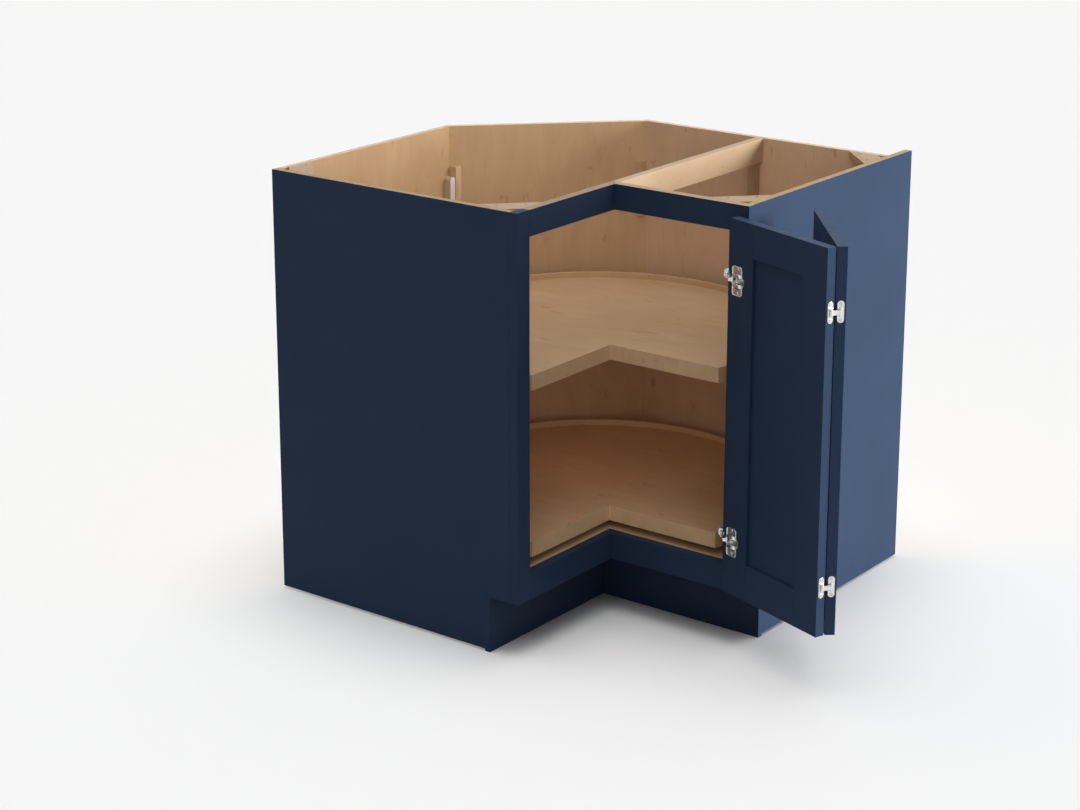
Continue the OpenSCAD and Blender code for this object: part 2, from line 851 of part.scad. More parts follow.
module hinge_cup(level) {
  lug_low = arm_half_height + lug_gap;
  difference() {
    union() {
      difference() {
        intersection() {
          cup_room(level, 0);
          block(pocket_low - cup_wall, pocket_high + cup_wall, leaf_back, leaf_front,
            level - flange_height / 2, level + flange_height / 2);
        }
        cup_room(level, cup_wall);
      }
      difference() {
        union() {
          block(cup_center - flange_width / 2, cup_center + flange_width / 2,
            leaf_back - flange_thickness, leaf_back,
            level - flange_height / 2 + flange_corner, level + flange_height / 2 - flange_corner);
          block(cup_center - flange_width / 2 + flange_corner,
            cup_center + flange_width / 2 - flange_corner,
            leaf_back - flange_thickness, leaf_back,
            level - flange_height / 2, level + flange_height / 2);
          for (side = [-1, 1]) for (end = [-1, 1])
            translate([cup_center + side * (flange_width / 2 - flange_corner),
              leaf_back - flange_thickness, level + end * (flange_height / 2 - flange_corner)])
              rotate([-90, 0, 0]) cylinder(r = flange_corner, h = flange_thickness);
        }
        cup_room(level, cup_wall);
        for (end = [-1, 1])
          translate([cup_center, leaf_back - flange_thickness * 2,
            level + end * (flange_height / 2 - cup_screw_inset)])
            rotate([-90, 0, 0]) cylinder(r = cup_screw_radius, h = flange_thickness * 4);
      }
      for (side = [-1, 1]) lug(level + side * (lug_low + lug_height / 2));
    }
    translate([leaf_pivot[0], leaf_pivot[1], level - lug_low - lug_height])
      cylinder(r = leaf_pin_radius + running_gap, h = (lug_low + lug_height) * 2);
  }
}

// One lug around the leaf pivot, tied to the pocket's end
module lug(level) {
  low = level - lug_height / 2;
  high = level + lug_height / 2;
  reach = pocket_high - leaf_pivot[0];
  upright(low, high) intersection() {
    union() {
      translate(leaf_pivot) circle(r = leaf_eye_radius);
      translate([leaf_pivot[0], leaf_back]) square([reach, lug_root]);
      translate([leaf_pivot[0] + leaf_eye_radius, leaf_back])
        square([reach - leaf_eye_radius, pocket_depth - overcut]);
    }
    translate([leaf_pivot[0] - cup_depth, leaf_back - lug_stand])
      square(cup_depth * 2);
  }
}

module hinge_cups() {
  color(zinc) on_floor_plan() near_leaf_at_rest() for (level = hinge_levels)
    hinge_cup(level);
}

module cup_screw_places() {
  for (level = hinge_levels) for (end = [-1, 1])
    translate([cup_center, leaf_back - flange_thickness,
      level + end * (flange_height / 2 - cup_screw_inset)]) rotate([-90, 0, 0]) children();
}

module hinge_cup_screws() {
  color(zinc) on_floor_plan() near_leaf_at_rest() cup_screw_places()
    cross_screw(cup_screw_radius, cup_screw_length, cup_head);
}

// A leaf is drawn along u: its fold end at the low end, its free end at the high end
module leaf_stile_shape(low, high, groove_side) {
  groove = (leaf_thickness - leaf_panel) / 2;
  depth = panel_tongue + groove_spare;
  groove_from = groove_side > 0 ? high - depth : low - overcut;
  groove_to = groove_side > 0 ? high + overcut : low + depth;
  difference() {
    block(low, high, leaf_back, leaf_front, door_low, door_high);
    block(groove_from, groove_to, leaf_back + groove, leaf_front - groove,
      door_low + leaf_bottom_rail - depth, door_high - leaf_top_rail + depth);
  }
}

module leaf_fold_stile() {
  difference() {
    leaf_stile_shape(fold_end, fold_end + leaf_stile, 1);
    plate_screw_places() cylinder(r = plate_screw_radius, h = plate_screw_length);
  }
}

module leaf_far_stile() {
  leaf_stile_shape(hinge_end - leaf_stile, hinge_end, -1);
}

module leaf_rail_shape(low, high, groove_low, groove_high) {
  groove = (leaf_thickness - leaf_panel) / 2;
  difference() {
    block(fold_end + leaf_stile, hinge_end - leaf_stile, leaf_back, leaf_front, low, high);
    block(fold_end + leaf_stile - overcut, hinge_end - leaf_stile + overcut,
      leaf_back + groove, leaf_front - groove, groove_low, groove_high);
  }
}

module leaf_top_rail_shape() {
  leaf_rail_shape(door_high - leaf_top_rail, door_high, door_high - leaf_top_rail - overcut,
    door_high - leaf_top_rail + panel_tongue + groove_spare);
}

module leaf_bottom_rail_shape() {
  leaf_rail_shape(door_low, door_low + leaf_bottom_rail,
    door_low + leaf_bottom_rail - panel_tongue - groove_spare,
    door_low + leaf_bottom_rail + overcut);
}

module leaf_panel_shape() {
  groove = (leaf_thickness - leaf_panel) / 2;
  block(fold_end + leaf_stile - panel_tongue, hinge_end - leaf_stile + panel_tongue,
    leaf_back + groove, leaf_front - groove,
    door_low + leaf_bottom_rail - panel_tongue, door_high - leaf_top_rail + panel_tongue);
}

module near_leaf_hinge_stile() {
  color(paint) on_floor_plan() near_leaf_at_rest() difference() {
    leaf_far_stile();
    for (level = hinge_levels) cup_room(level, 0);
    cup_screw_places() cylinder(r = cup_screw_radius, h = cup_screw_length);
  }
}

module near_leaf_fold_stile() {
  color(paint) on_floor_plan() near_leaf_at_rest() leaf_fold_stile();
}

module near_leaf_top_rail() {
  color(paint) on_floor_plan() near_leaf_at_rest() leaf_top_rail_shape();
}

module near_leaf_bottom_rail() {
  color(paint) on_floor_plan() near_leaf_at_rest() leaf_bottom_rail_shape();
}

module near_leaf_panel() {
  color(paint) on_floor_plan() near_leaf_at_rest() leaf_panel_shape();
}

// ---- fold hinges ---------------------------------------------------------

// Screw places on the fold end, with +Z running into the leaf
module plate_screw_places() {
  for (level = link_levels) for (end = [-1, 1])
    translate([fold_end - plate_thickness, leaf_middle,
      level + end * (plate_height / 2 - plate_screw_inset)]) rotate([0, 90, 0]) children();
}

module fold_plate(level) {
  radius = plate_width / 2;
  knuckle = fold_pin_radius + ear_wall;
  ear_low = link_height / 2 + lug_gap;
  difference() {
    union() {
      translate([fold_end - plate_thickness, leaf_middle, level]) rotate([0, 90, 0])
        linear_extrude(height = plate_thickness) union() {
          square([plate_height - plate_width, plate_width], center = true);
          translate([plate_height / 2 - radius, 0]) circle(r = radius);
          translate([radius - plate_height / 2, 0]) circle(r = radius);
        }
      for (low = [ear_low, -ear_low - fold_ear_height])
        upright(level + low, level + low + fold_ear_height) union() {
          translate(near_pin) circle(r = knuckle);
          translate([near_pin[0], near_pin[1] - knuckle])
            square([pin_reach - plate_thickness / 2, knuckle * 2]);
        }
    }
    translate([near_pin[0], near_pin[1], level - plate_height / 2])
      cylinder(r = fold_pin_radius + running_gap, h = plate_height);
    for (end = [-1, 1])
      translate([fold_end - plate_thickness * 2, leaf_middle,
        level + end * (plate_height / 2 - plate_screw_inset)]) rotate([0, 90, 0])
        cylinder(r = plate_screw_radius, h = plate_thickness * 3);
  }
}

module fold_screws() {
  plate_screw_places()
    cross_screw(plate_screw_radius, plate_screw_length, plate_head);
}

module near_fold_plates() {
  color(zinc) on_floor_plan() near_leaf_at_rest() for (level = link_levels)
    fold_plate(level);
}

module near_fold_screws() {
  color(zinc) on_floor_plan() near_leaf_at_rest() fold_screws();
}

module link_plan() {
  difference() {
    union() {
      translate(near_pin) circle(r = link_eye);
      translate(far_pin) circle(r = link_eye);
      bar_plan(near_pin, far_pin, link_eye * link_bar_share);
    }
    translate(near_pin) circle(r = fold_pin_radius);
    translate(far_pin) circle(r = fold_pin_radius);
  }
}

module fold_links() {
  color(zinc) on_floor_plan() links_at_rest() for (level = link_levels)
    upright(level - link_height / 2, level + link_height / 2) link_plan();
}

module fold_pins() {
  reach = link_height / 2 + lug_gap + fold_ear_height;
  color(zinc) on_floor_plan() links_at_rest() for (level = link_levels)
    for (place = [near_pin, far_pin]) upright(level - reach, level + reach)
      translate(place) circle(r = fold_pin_radius);
}

// ---- far leaf, the near leaf's mirror image while shut --------------------

module far_leaf_fold_stile() {
  color(paint) on_floor_plan() far_leaf_at_rest() other_wing() leaf_fold_stile();
}

module far_leaf_free_stile() {
  color(paint) on_floor_plan() far_leaf_at_rest() other_wing() leaf_far_stile();
}

module far_leaf_top_rail() {
  color(paint) on_floor_plan() far_leaf_at_rest() other_wing() leaf_top_rail_shape();
}

module far_leaf_bottom_rail() {
  color(paint) on_floor_plan() far_leaf_at_rest() other_wing() leaf_bottom_rail_shape();
}

module far_leaf_panel() {
  color(paint) on_floor_plan() far_leaf_at_rest() other_wing() leaf_panel_shape();
}

module far_fold_plates() {
  color(zinc) on_floor_plan() far_leaf_at_rest() other_wing()
    for (level = link_levels) fold_plate(level);
}

module far_fold_screws() {
  color(zinc) on_floor_plan() far_leaf_at_rest() other_wing() fold_screws();
}

module door_bumpers() {
  color(clear_rubber) on_floor_plan() far_leaf_at_rest() other_wing()
    for (level = [door_low + bumper_inset, door_high - bumper_inset])
      translate([hinge_end - bumper_inset, leaf_back - bumper_height, level])
        rotate([-90, 0, 0]) cylinder(r = bumper_radius, h = bumper_height);
}

// ---- nodes ---------------------------------------------------------------

left_end_panel();
right_end_panel();
left_back_panel();
right_back_panel();
diagonal_back_panel();
cabinet_floor();
left_stile();
right_stile();
left_top_rail();
right_top_rail();
left_bottom_rail();
right_bottom_rail();
left_kick_board();
right_kick_board();
top_stretcher();
stretcher_cleat();
corner_braces();
back_joint_strips();
back_joint_clips();
carousel_shelf();
shelf_cleats();
hinge_mounts();
hinge_mount_screws();
lower_swivel_base();
upper_swivel_base();
hinge_arms();
arm_pins();
near_leaf_hinge_stile();
near_leaf_fold_stile();
near_leaf_top_rail();
near_leaf_bottom_rail();
near_leaf_panel();
hinge_cups();
hinge_cup_screws();
near_fold_plates();
near_fold_screws();
fold_links();
fold_pins();
far_leaf_fold_stile();
far_leaf_free_stile();
far_leaf_top_rail();
far_leaf_bottom_rail();
far_leaf_panel();
far_fold_plates();
far_fold_screws();
door_bumpers();
lower_deck();
lower_front_bands();
lower_round_band();
lower_spacer();
lower_swivel_top();
lower_ball_ring();
upper_deck();
upper_front_bands();
upper_round_band();
upper_spacer();
upper_swivel_top();
upper_ball_ring();
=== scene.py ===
# %% [markdown]
# # A corner base cabinet with two turntable shelves
# The solid model comes in with its pieces already in place. This lesson dresses it:
# navy paint outside, clear-lacquered maple inside, zinc hinges, white plastic clips.
# Each step says what the real piece or finish is before it is made.

import json
import math

import bmesh
import bpy
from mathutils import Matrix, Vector

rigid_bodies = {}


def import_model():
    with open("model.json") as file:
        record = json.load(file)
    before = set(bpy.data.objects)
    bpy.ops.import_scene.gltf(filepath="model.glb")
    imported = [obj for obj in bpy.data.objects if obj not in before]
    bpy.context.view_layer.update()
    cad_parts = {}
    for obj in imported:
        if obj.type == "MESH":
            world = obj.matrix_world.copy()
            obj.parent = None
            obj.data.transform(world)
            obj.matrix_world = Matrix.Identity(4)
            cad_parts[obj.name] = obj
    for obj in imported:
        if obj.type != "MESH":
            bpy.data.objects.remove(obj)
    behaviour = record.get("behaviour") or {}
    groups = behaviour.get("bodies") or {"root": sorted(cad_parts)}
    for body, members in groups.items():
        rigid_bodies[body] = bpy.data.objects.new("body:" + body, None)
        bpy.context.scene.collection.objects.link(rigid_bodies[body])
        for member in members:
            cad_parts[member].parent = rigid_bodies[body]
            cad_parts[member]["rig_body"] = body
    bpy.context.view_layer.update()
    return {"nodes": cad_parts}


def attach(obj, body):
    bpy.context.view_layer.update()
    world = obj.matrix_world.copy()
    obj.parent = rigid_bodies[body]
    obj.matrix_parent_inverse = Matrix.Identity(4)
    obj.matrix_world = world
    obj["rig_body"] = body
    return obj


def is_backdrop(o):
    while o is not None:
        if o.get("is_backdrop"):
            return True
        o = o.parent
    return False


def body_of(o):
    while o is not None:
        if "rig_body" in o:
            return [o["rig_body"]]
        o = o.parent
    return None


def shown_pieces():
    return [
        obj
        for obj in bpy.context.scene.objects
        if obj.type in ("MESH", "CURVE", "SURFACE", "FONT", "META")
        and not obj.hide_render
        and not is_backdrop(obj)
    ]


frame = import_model()
nodes = frame["nodes"]

# %% [markdown]
# ## Camera
# The cabinet was photographed from a little above head height, some five metres away,
# turned so that both wings show. A long lens keeps the wings from flaring. The frame is
# shifted down a little, so the camera looks less steeply down and the upright edges
# stay close to upright, as a product photographer likes them.

# %% Camera
CAMERA_PLACE = (3.271, -4.3315, 1.9369)
LOOKING = Vector((-0.58432, 0.76543, -0.26961))
LENS_LENGTH = 81.722
FRAME_SHIFT = -0.1

camera_data = bpy.data.cameras.new("studio_camera")
camera_data.lens = LENS_LENGTH
camera_data.shift_y = FRAME_SHIFT
camera = bpy.data.objects.new("studio_camera", camera_data)
camera.location = CAMERA_PLACE
camera.rotation_euler = LOOKING.to_track_quat("-Z", "Y").to_euler()
bpy.context.scene.collection.objects.link(camera)
bpy.context.scene.camera = camera
bpy.context.scene.view_settings.view_transform = "Standard"
print("camera at", tuple(camera.location))

# %% [markdown]
# ## Helpers for materials
# Every finish here is a small node graph. Typed out in full, each would be pages of the
# same few calls, so three helpers do them: one makes the material and returns its
# shader, one adds a node with its settings, and one joins two sockets.

# %% Material helpers
def new_finish(name):
    finish = bpy.data.materials.new(name)
    finish.use_nodes = True
    return finish, finish.node_tree.nodes["Principled BSDF"]


def add(finish, kind, **settings):
    node = finish.node_tree.nodes.new(kind)
    for key, value in settings.items():
        if key in node.inputs:
            node.inputs[key].default_value = value
        else:
            setattr(node, key, value)
    return node


def join(finish, source, target):
    finish.node_tree.links.new(source, target)


print("three helpers for node graphs")

# %% [markdown]
# ## Helpers for colour
# A pattern is a number at each point. A ramp turns that number into a colour, a fade is
# a ramp of two tones, and a mix lays one colour over another. Multiplying darkens only
# where the upper colour is dark, so it is how grain marks are laid on wood.

# %% Colour helpers
WHITE = (1.0, 1.0, 1.0)


def grey(value):
    return (value, value, value)


def ramp(finish, source, stops):
    node = add(finish, "ShaderNodeValToRGB")
    elements = node.color_ramp.elements
    while len(elements) < len(stops):
        elements.new(0.5)
    for element, (position, colour) in zip(elements, stops):
        element.position = position
        element.color = (*colour, 1)
    join(finish, source, node.inputs["Fac"])
    return node.outputs["Color"]


def fade(finish, source, low, high, span=(0.3, 0.7)):
    """One tone below the span, the other above it, and a smooth change between."""
    return ramp(finish, source, list(zip(span, (low, high))))


def mix(finish, amount, first, second, kind="MIX"):
    """Each of the three is either another node's output or a plain value."""
    node = add(finish, "ShaderNodeMix", data_type="RGBA", blend_type=kind)
    slots = {"Factor": amount, "A": first, "B": second}
    for socket in node.inputs:
        if socket.enabled and socket.name in slots:
            value = slots[socket.name]
            if hasattr(value, "links"):
                join(finish, value, socket)
            elif socket.type == "RGBA":
                socket.default_value = (*value, 1)
            else:
                socket.default_value = value
    return next(s for s in node.outputs if s.enabled)


print("a ramp, a fade and a mix")

# %% [markdown]
# ## Helpers for patterns
# A pattern is measured in the piece's own metres, so it stays put when the piece moves
# and has its true size on every board. A noise's scale says about how many of its
# waves fit in a metre. A bump lets the same pattern catch the light.

# %% Pattern helpers
def place(finish, turn=(0, 0, 0)):
    spot = add(finish, "ShaderNodeTexCoord")
    mapping = add(finish, "ShaderNodeMapping", Rotation=turn)
    join(finish, spot.outputs["Object"], mapping.inputs["Vector"])
    return mapping.outputs["Vector"]


def noise(finish, where, scale, detail=2.0, rough=0.5, distortion=0.0):
    node = add(finish, "ShaderNodeTexNoise", Scale=scale, Detail=detail,
               Roughness=rough, Distortion=distortion)
    join(finish, where, node.inputs["Vector"])
    return node.outputs["Fac"]


def bump(finish, shader, height, strength, distance):
    node = add(finish, "ShaderNodeBump", Strength=strength, Distance=distance)
    join(finish, height, node.inputs["Height"])
    join(finish, node.outputs["Normal"], shader.inputs["Normal"])


print("a place, a noise and a bump")

# %% [markdown]
# ## Navy paint
# The outside is sprayed with a satin catalysed paint. Close up it has a faint orange
# peel, and its sheen drifts a little from place to place. The tone is uneven by a few
# per cent only, so two slow noises carry it, and a fine one makes the orange peel.

# %% Navy paint
# Each noise is given as its scale and its detail.
DRIFT, SHEEN, PEEL = (5.0, 3.0), (28.0, 4.0), (420.0, 2.0)
GLOSSIEST, DULLEST = grey(0.4), grey(0.5)
PEEL_STRENGTH, PEEL_DEPTH = 0.06, 0.0004
PAINT_SHINE = 0.06


def navy_finish(name, dark, light):
    finish, shader = new_finish(name)
    where = place(finish)
    tone = fade(finish, noise(finish, where, *DRIFT), dark, light)
    join(finish, tone, shader.inputs["Base Color"])
    satin = fade(finish, noise(finish, where, *SHEEN), GLOSSIEST, DULLEST, span=(0.25, 0.75))
    join(finish, satin, shader.inputs["Roughness"])
    shader.inputs["Specular IOR Level"].default_value = PAINT_SHINE
    bump(finish, shader, noise(finish, where, *PEEL), PEEL_STRENGTH, PEEL_DEPTH)
    return finish


navy = navy_finish("navy_satin", (0.040, 0.069, 0.133), (0.046, 0.078, 0.150))
print("made", navy.name)

# %% [markdown]
# ## Marks in maple veneer
# Inside, the boards are plywood with a peeled maple face under clear lacquer. A peeled
# face has wide, cloudy figure, faint fibres along the grain, fine dark flecks, and small
# brown marks like a cat's paw. Each mark is one noise, laid on by multiplying, and all
# but the clouds are drawn out along the grain, so a table can hold them. A photograph of
# veneer would be quicker, but it would repeat, and it could not turn with each board.

# %% Marks in the veneer
GRAIN = {
    "upright": (0, 0, 0),
    "across_x": (0, math.radians(90), 0),
    "across_y": (math.radians(90), 0, 0),
}
# Each mark has its scale along the grain (a small one draws it out), the settings of its
# noise (scale, detail, roughness, distortion), the span of its fade, its darkest tone,
# and how strongly it shows.
VENEER_MARKS = {
    "cloud": (1.0, (4.5, 3.0), (0.3, 0.7), (0.88, 0.86, 0.83), 1.0),
    "fibre": (0.02, (340.0, 3.0, 0.6), (0.35, 0.6), (0.86, 0.82, 0.78), 0.1),
    "fleck": (0.06, (900.0, 1.0), (0.26, 0.36), (0.62, 0.5, 0.4), 0.2),
    "paw": (0.35, (55.0, 2.0, 0.5, 1.0), (0.27, 0.33), (0.74, 0.62, 0.5), 0.6),
}
FIGURE_STRETCH, FIGURE = 0.3, (9.0, 4.0, 0.55, 2.4)
FIGURE_STOPS = (0.3, 0.5, 0.68)


def drawn_out(finish, where, stretch):
    node = add(finish, "ShaderNodeMapping", Scale=(1, 1, stretch))
    join(finish, where, node.inputs["Vector"])
    return node.outputs["Vector"]


def veneer_colour(finish, where, pale, tan):
    """Returns the colour, and the fibres for the gloss and the bump."""
    half_way = tuple((p + t) / 2 for p, t in zip(pale, tan))
    figure = noise(finish, drawn_out(finish, where, FIGURE_STRETCH), *FIGURE)
    colour = ramp(finish, figure, list(zip(FIGURE_STOPS, (tan, half_way, pale))))
    pattern = {}
    for mark, (stretch, settings, span, tone, strength) in VENEER_MARKS.items():
        pattern[mark] = noise(finish, drawn_out(finish, where, stretch), *settings)
        shade = fade(finish, pattern[mark], tone, WHITE, span)
        colour = mix(finish, strength, colour, shade, "MULTIPLY")
    return colour, pattern["fibre"]


print("marks in the veneer:", ", ".join(VENEER_MARKS))

# %% [markdown]
# ## Pin knots
# Now and then a tiny branch leaves a dark dot. A Voronoi pattern has one middle in each
# of its large cells, and a fade that is dark only close to the middle makes the dot.

# %% Pin knots
KNOT_SCALE, KNOT_STRETCH = 3.1, 0.5
HEART_TO_EDGE = (0.012, 0.03)
KNOT_TONE, KNOT_STRENGTH = (0.45, 0.33, 0.24), 0.8


def with_knots(finish, where, colour):
    cells = add(finish, "ShaderNodeTexVoronoi", Scale=KNOT_SCALE, Randomness=1.0)
    join(finish, drawn_out(finish, where, KNOT_STRETCH), cells.inputs["Vector"])
    dots = fade(finish, cells.outputs["Distance"], KNOT_TONE, WHITE, HEART_TO_EDGE)
    return mix(finish, KNOT_STRENGTH, colour, dots, "MULTIPLY")


print("knots about", round(1 / KNOT_SCALE, 2), "m apart")

# %% [markdown]
# ## Maple boards
# No two sheets of veneer are one colour: the left back is more golden, the right back
# more rosy, and the solid stretcher is the palest. One recipe takes the grain's
# direction and two tones. The lacquer is a little glossier between the fibres.

# %% Maple boards
LACQUER_SHINE = 0.35
ON_FIBRE, BETWEEN_FIBRES = grey(0.52), grey(0.42)
FIBRE_STRENGTH, FIBRE_DEPTH = 0.08, 0.0004
PALE, TAN = (0.620, 0.430, 0.265), (0.560, 0.375, 0.222)


def maple_finish(name, direction, pale, tan):
    finish, shader = new_finish(name)
    where = place(finish, turn=GRAIN[direction])
    colour, fibre = veneer_colour(finish, where, pale, tan)
    join(finish, with_knots(finish, where, colour), shader.inputs["Base Color"])
    gloss = fade(finish, fibre, ON_FIBRE, BETWEEN_FIBRES)
    join(finish, gloss, shader.inputs["Roughness"])
    shader.inputs["Specular IOR Level"].default_value = LACQUER_SHINE
    bump(finish, shader, fibre, FIBRE_STRENGTH, FIBRE_DEPTH)
    return finish


upright, along_x, along_y = (maple_finish("maple_" + way, way, PALE, TAN) for way in GRAIN)
golden_maple = maple_finish("maple_golden", "upright", (0.60, 0.405, 0.225), (0.55, 0.355, 0.19))
rosy_maple = maple_finish("maple_rosy", "upright", (0.67, 0.475, 0.33), (0.61, 0.425, 0.285))
solid_maple = maple_finish("maple_solid_y", "across_y", (0.70, 0.50, 0.33), (0.64, 0.45, 0.28))
maples = (upright, along_x, along_y, golden_maple, rosy_maple, solid_maple)
print("made", [finish.name for finish in maples])

# %% [markdown]
# ## Where the outer paint ends
# The end panels are painted outside, and on their bare top edges the paint shows as a
# dark line. A plain test draws it: past a certain place, the edge has the paint's
# colour. A strip of its own would be truer, but the line is about a millimetre wide.

# %% The edge of the paint
WALL_RUN = 0.9144
PAINT_EDGE_WIDTH = 0.0012
PAINT_EDGE = (0.03, 0.05, 0.095)
PAINT_STARTS = WALL_RUN - PAINT_EDGE_WIDTH


def painted_past(finish, colour, axis, test, limit):
    parts = add(finish, "ShaderNodeSeparateXYZ")
    join(finish, place(finish), parts.inputs["Vector"])
    past = add(finish, "ShaderNodeMath", operation=test)
    join(finish, parts.outputs[axis], past.inputs[0])
    past.inputs[1].default_value = limit
    return mix(finish, past.outputs[0], colour, PAINT_EDGE)


print("paint starts", round(PAINT_STARTS, 4), "m from the corner")

# %% [markdown]
# ## Sawn edges of the boards
# Where a board is cut, its plies show as thin stripes. They run with the height on level
# boards and with the thickness on upright ones, so the finish takes the axis that
# crosses the plies. A noise speckles the stripes where the saw has torn the fibres.

# %% Sawn edges
ACROSS_PLIES = {
    "x": (0, 0, 0),
    "y": (0, 0, math.radians(-90)),
    "z": (0, math.radians(90), 0),
}
PLIES = {"Scale": 105.0, "Distortion": 0.3, "Detail": 1.0}
PLY_STRENGTH, PLY_DEPTH = 0.1, 0.0003
EDGE_PALE, EDGE_DARK = (0.68, 0.50, 0.31), (0.52, 0.35, 0.19)
SAW_MARKS, SAW_TONE, SAW_STRENGTH = (90.0, 3.0), (0.82, 0.78, 0.74), 0.8
EDGE_ROUGHNESS, EDGE_SHINE = 0.62, 0.25


def sawn_finish(name, axis, paint=None):
    """paint: (axis, test, place in metres) of the outer face's paint, if it has one."""
    finish, shader = new_finish(name)
    where = place(finish, turn=ACROSS_PLIES[axis])
    plies = add(finish, "ShaderNodeTexWave", bands_direction="X", **PLIES)
    join(finish, where, plies.inputs["Vector"])
    colour = fade(finish, plies.outputs["Fac"], EDGE_DARK, EDGE_PALE, span=(0.1, 0.6))
    sawing = noise(finish, where, *SAW_MARKS)
    specks = fade(finish, sawing, SAW_TONE, WHITE, span=(0.35, 0.6))
    colour = mix(finish, SAW_STRENGTH, colour, specks, "MULTIPLY")
    if paint:
        colour = painted_past(finish, colour, *paint)
    join(finish, colour, shader.inputs["Base Color"])
    shader.inputs["Roughness"].default_value = EDGE_ROUGHNESS
    shader.inputs["Specular IOR Level"].default_value = EDGE_SHINE
    bump(finish, shader, plies.outputs["Fac"], PLY_STRENGTH, PLY_DEPTH)
    return finish


sawn = {axis: sawn_finish("sawn_edge_" + axis, axis) for axis in ACROSS_PLIES}
sawn["left"] = sawn_finish("sawn_edge_left", "y", ("Y", "LESS_THAN", -PAINT_STARTS))
sawn["right"] = sawn_finish("sawn_edge_right", "x", ("X", "GREATER_THAN", PAINT_STARTS))
print("made", [finish.name for finish in sawn.values()])

# %% [markdown]
# ## Zinc plate
# The hinges are zinc-plated steel: bright, with a soft, cloudy reflection. Their screws
# are duller. The pressed rims and folded cheeks of the cups take a lighter, glossier copy
# of the zinc: the extra gloss is real, and the lighter tone is a painted highlight. So one
# recipe takes two tones and the roughness of each.

# %% Zinc plate
CRYSTALS, PITS = (160.0, 4.0, 0.6), (900.0, 2.0)
PIT_STRENGTH, PIT_DEPTH = 0.05, 0.0002


def zinc_finish(name, bright, dull, smooth, coarse):
    finish, shader = new_finish(name)
    where = place(finish)
    cloud = noise(finish, where, *CRYSTALS)
    join(finish, fade(finish, cloud, dull, bright), shader.inputs["Base Color"])
    shader.inputs["Metallic"].default_value = 1.0
    gloss = fade(finish, cloud, grey(coarse), grey(smooth))
    join(finish, gloss, shader.inputs["Roughness"])
    bump(finish, shader, noise(finish, where, *PITS), PIT_STRENGTH, PIT_DEPTH)
    return finish


zinc = zinc_finish("zinc_plate", (0.80, 0.80, 0.79), (0.66, 0.66, 0.64), 0.24, 0.38)
screw_zinc = zinc_finish("zinc_screw", (0.72, 0.71, 0.68), (0.52, 0.51, 0.48), 0.3, 0.45)
# A lighter copy of the zinc for the rims and cheeks: its tone is a painted highlight, its extra
# gloss is real.
zinc_with_painted_highlight = zinc_finish("zinc_bright", (0.90, 0.90, 0.88), (0.78, 0.78, 0.76), 0.16, 0.3)
print("made", zinc.name, screw_zinc.name, zinc_with_painted_highlight.name)

# %% [markdown]
# ## White plastic and rubber
# The joint clips are moulded nylon, slightly glossy, and the door bumpers are soft clear
# rubber. Both are moulded, so a slow noise shades them as the melt flowed.

# %% Plastic and rubber
MELT_FLOW, MOULD_GRAIN = (60.0, 3.0), (700.0, 2.0)
MOULD_STRENGTH, MOULD_DEPTH = 0.05, 0.0002


def moulded_finish(name, colour, shade, roughness, shine):
    finish, shader = new_finish(name)
    where = place(finish)
    flow = noise(finish, where, *MELT_FLOW)
    join(finish, fade(finish, flow, shade, colour), shader.inputs["Base Color"])
    shader.inputs["Roughness"].default_value = roughness
    shader.inputs["Specular IOR Level"].default_value = shine
    bump(finish, shader, noise(finish, where, *MOULD_GRAIN), MOULD_STRENGTH, MOULD_DEPTH)
    return finish


nylon = moulded_finish("white_nylon", (0.80, 0.74, 0.68), (0.74, 0.67, 0.60), 0.4, 0.4)
rubber = moulded_finish("clear_rubber", (0.62, 0.62, 0.60), (0.55, 0.55, 0.53), 0.5, 0.35)
print("made", nylon.name, rubber.name)

# %% [markdown]
# ## Which face gets which finish
# A board is painted outside and bare inside, so one finish per board isn't enough. Each
# flat face is given its finish by the way that it faces, measured from its normal.
# The shape itself stays as it is.

# %% Finishes by the way a face looks
FACES_THAT_WAY = 0.7


def faces_by(node, rules, otherwise):
    """rules: a list of (direction, finish). A face takes the first direction it looks in."""
    mesh = nodes[node].data
    mesh.materials.clear()
    finishes = [otherwise]
    for _, finish in rules:
        if finish not in finishes:
            finishes.append(finish)
    for finish in finishes:
        mesh.materials.append(finish)
    for face in mesh.polygons:
        face.material_index = 0
        for direction, finish in rules:
            if face.normal.dot(Vector(direction)) > FACES_THAT_WAY:
                face.material_index = finishes.index(finish)
                break
    mesh.update()


print("faces are sorted by their normals")

# %% [markdown]
# ## Painted boards and backs
# The end panels are painted on the side that shows, at the front and underneath, and
# their sawn top edges are left bare for the countertop. The frame is painted but for its
# inner side and most of its top edge. The three backs are bare maple on both sides.

# %% Painted boards and backs
EAST, WEST, NORTH, SOUTH = (1, 0, 0), (-1, 0, 0), (0, 1, 0), (0, -1, 0)
UP, DOWN = (0, 0, 1), (0, 0, -1)
BOARD_FACES = {
    "left_end_panel": ([(SOUTH, navy), (EAST, navy), (DOWN, navy), (UP, sawn["left"])], upright),
    "right_end_panel": ([(EAST, navy), (SOUTH, navy), (DOWN, navy), (UP, sawn["right"])], upright),
    "left_back_panel": ([(UP, sawn["x"])], golden_maple),
    "right_back_panel": ([(UP, sawn["y"])], rosy_maple),
    "diagonal_back_panel": ([(UP, sawn["y"])], upright),
    "left_stile": ([(WEST, upright)], navy),
    "right_stile": ([(NORTH, upright), (UP, sawn["x"])], navy),
    "left_top_rail": ([(WEST, along_y), (UP, along_y)], navy),
    "right_top_rail": ([(NORTH, along_x), (UP, along_x)], navy),
    "left_bottom_rail": ([(WEST, along_y)], navy),
    "right_bottom_rail": ([(NORTH, along_x)], navy),
    "left_kick_board": ([(WEST, along_y)], navy),
    "right_kick_board": ([(NORTH, along_x)], navy),
}
for board, (rules, otherwise) in BOARD_FACES.items():
    faces_by(board, rules, otherwise)
print("dressed", len(BOARD_FACES), "boards face by face")

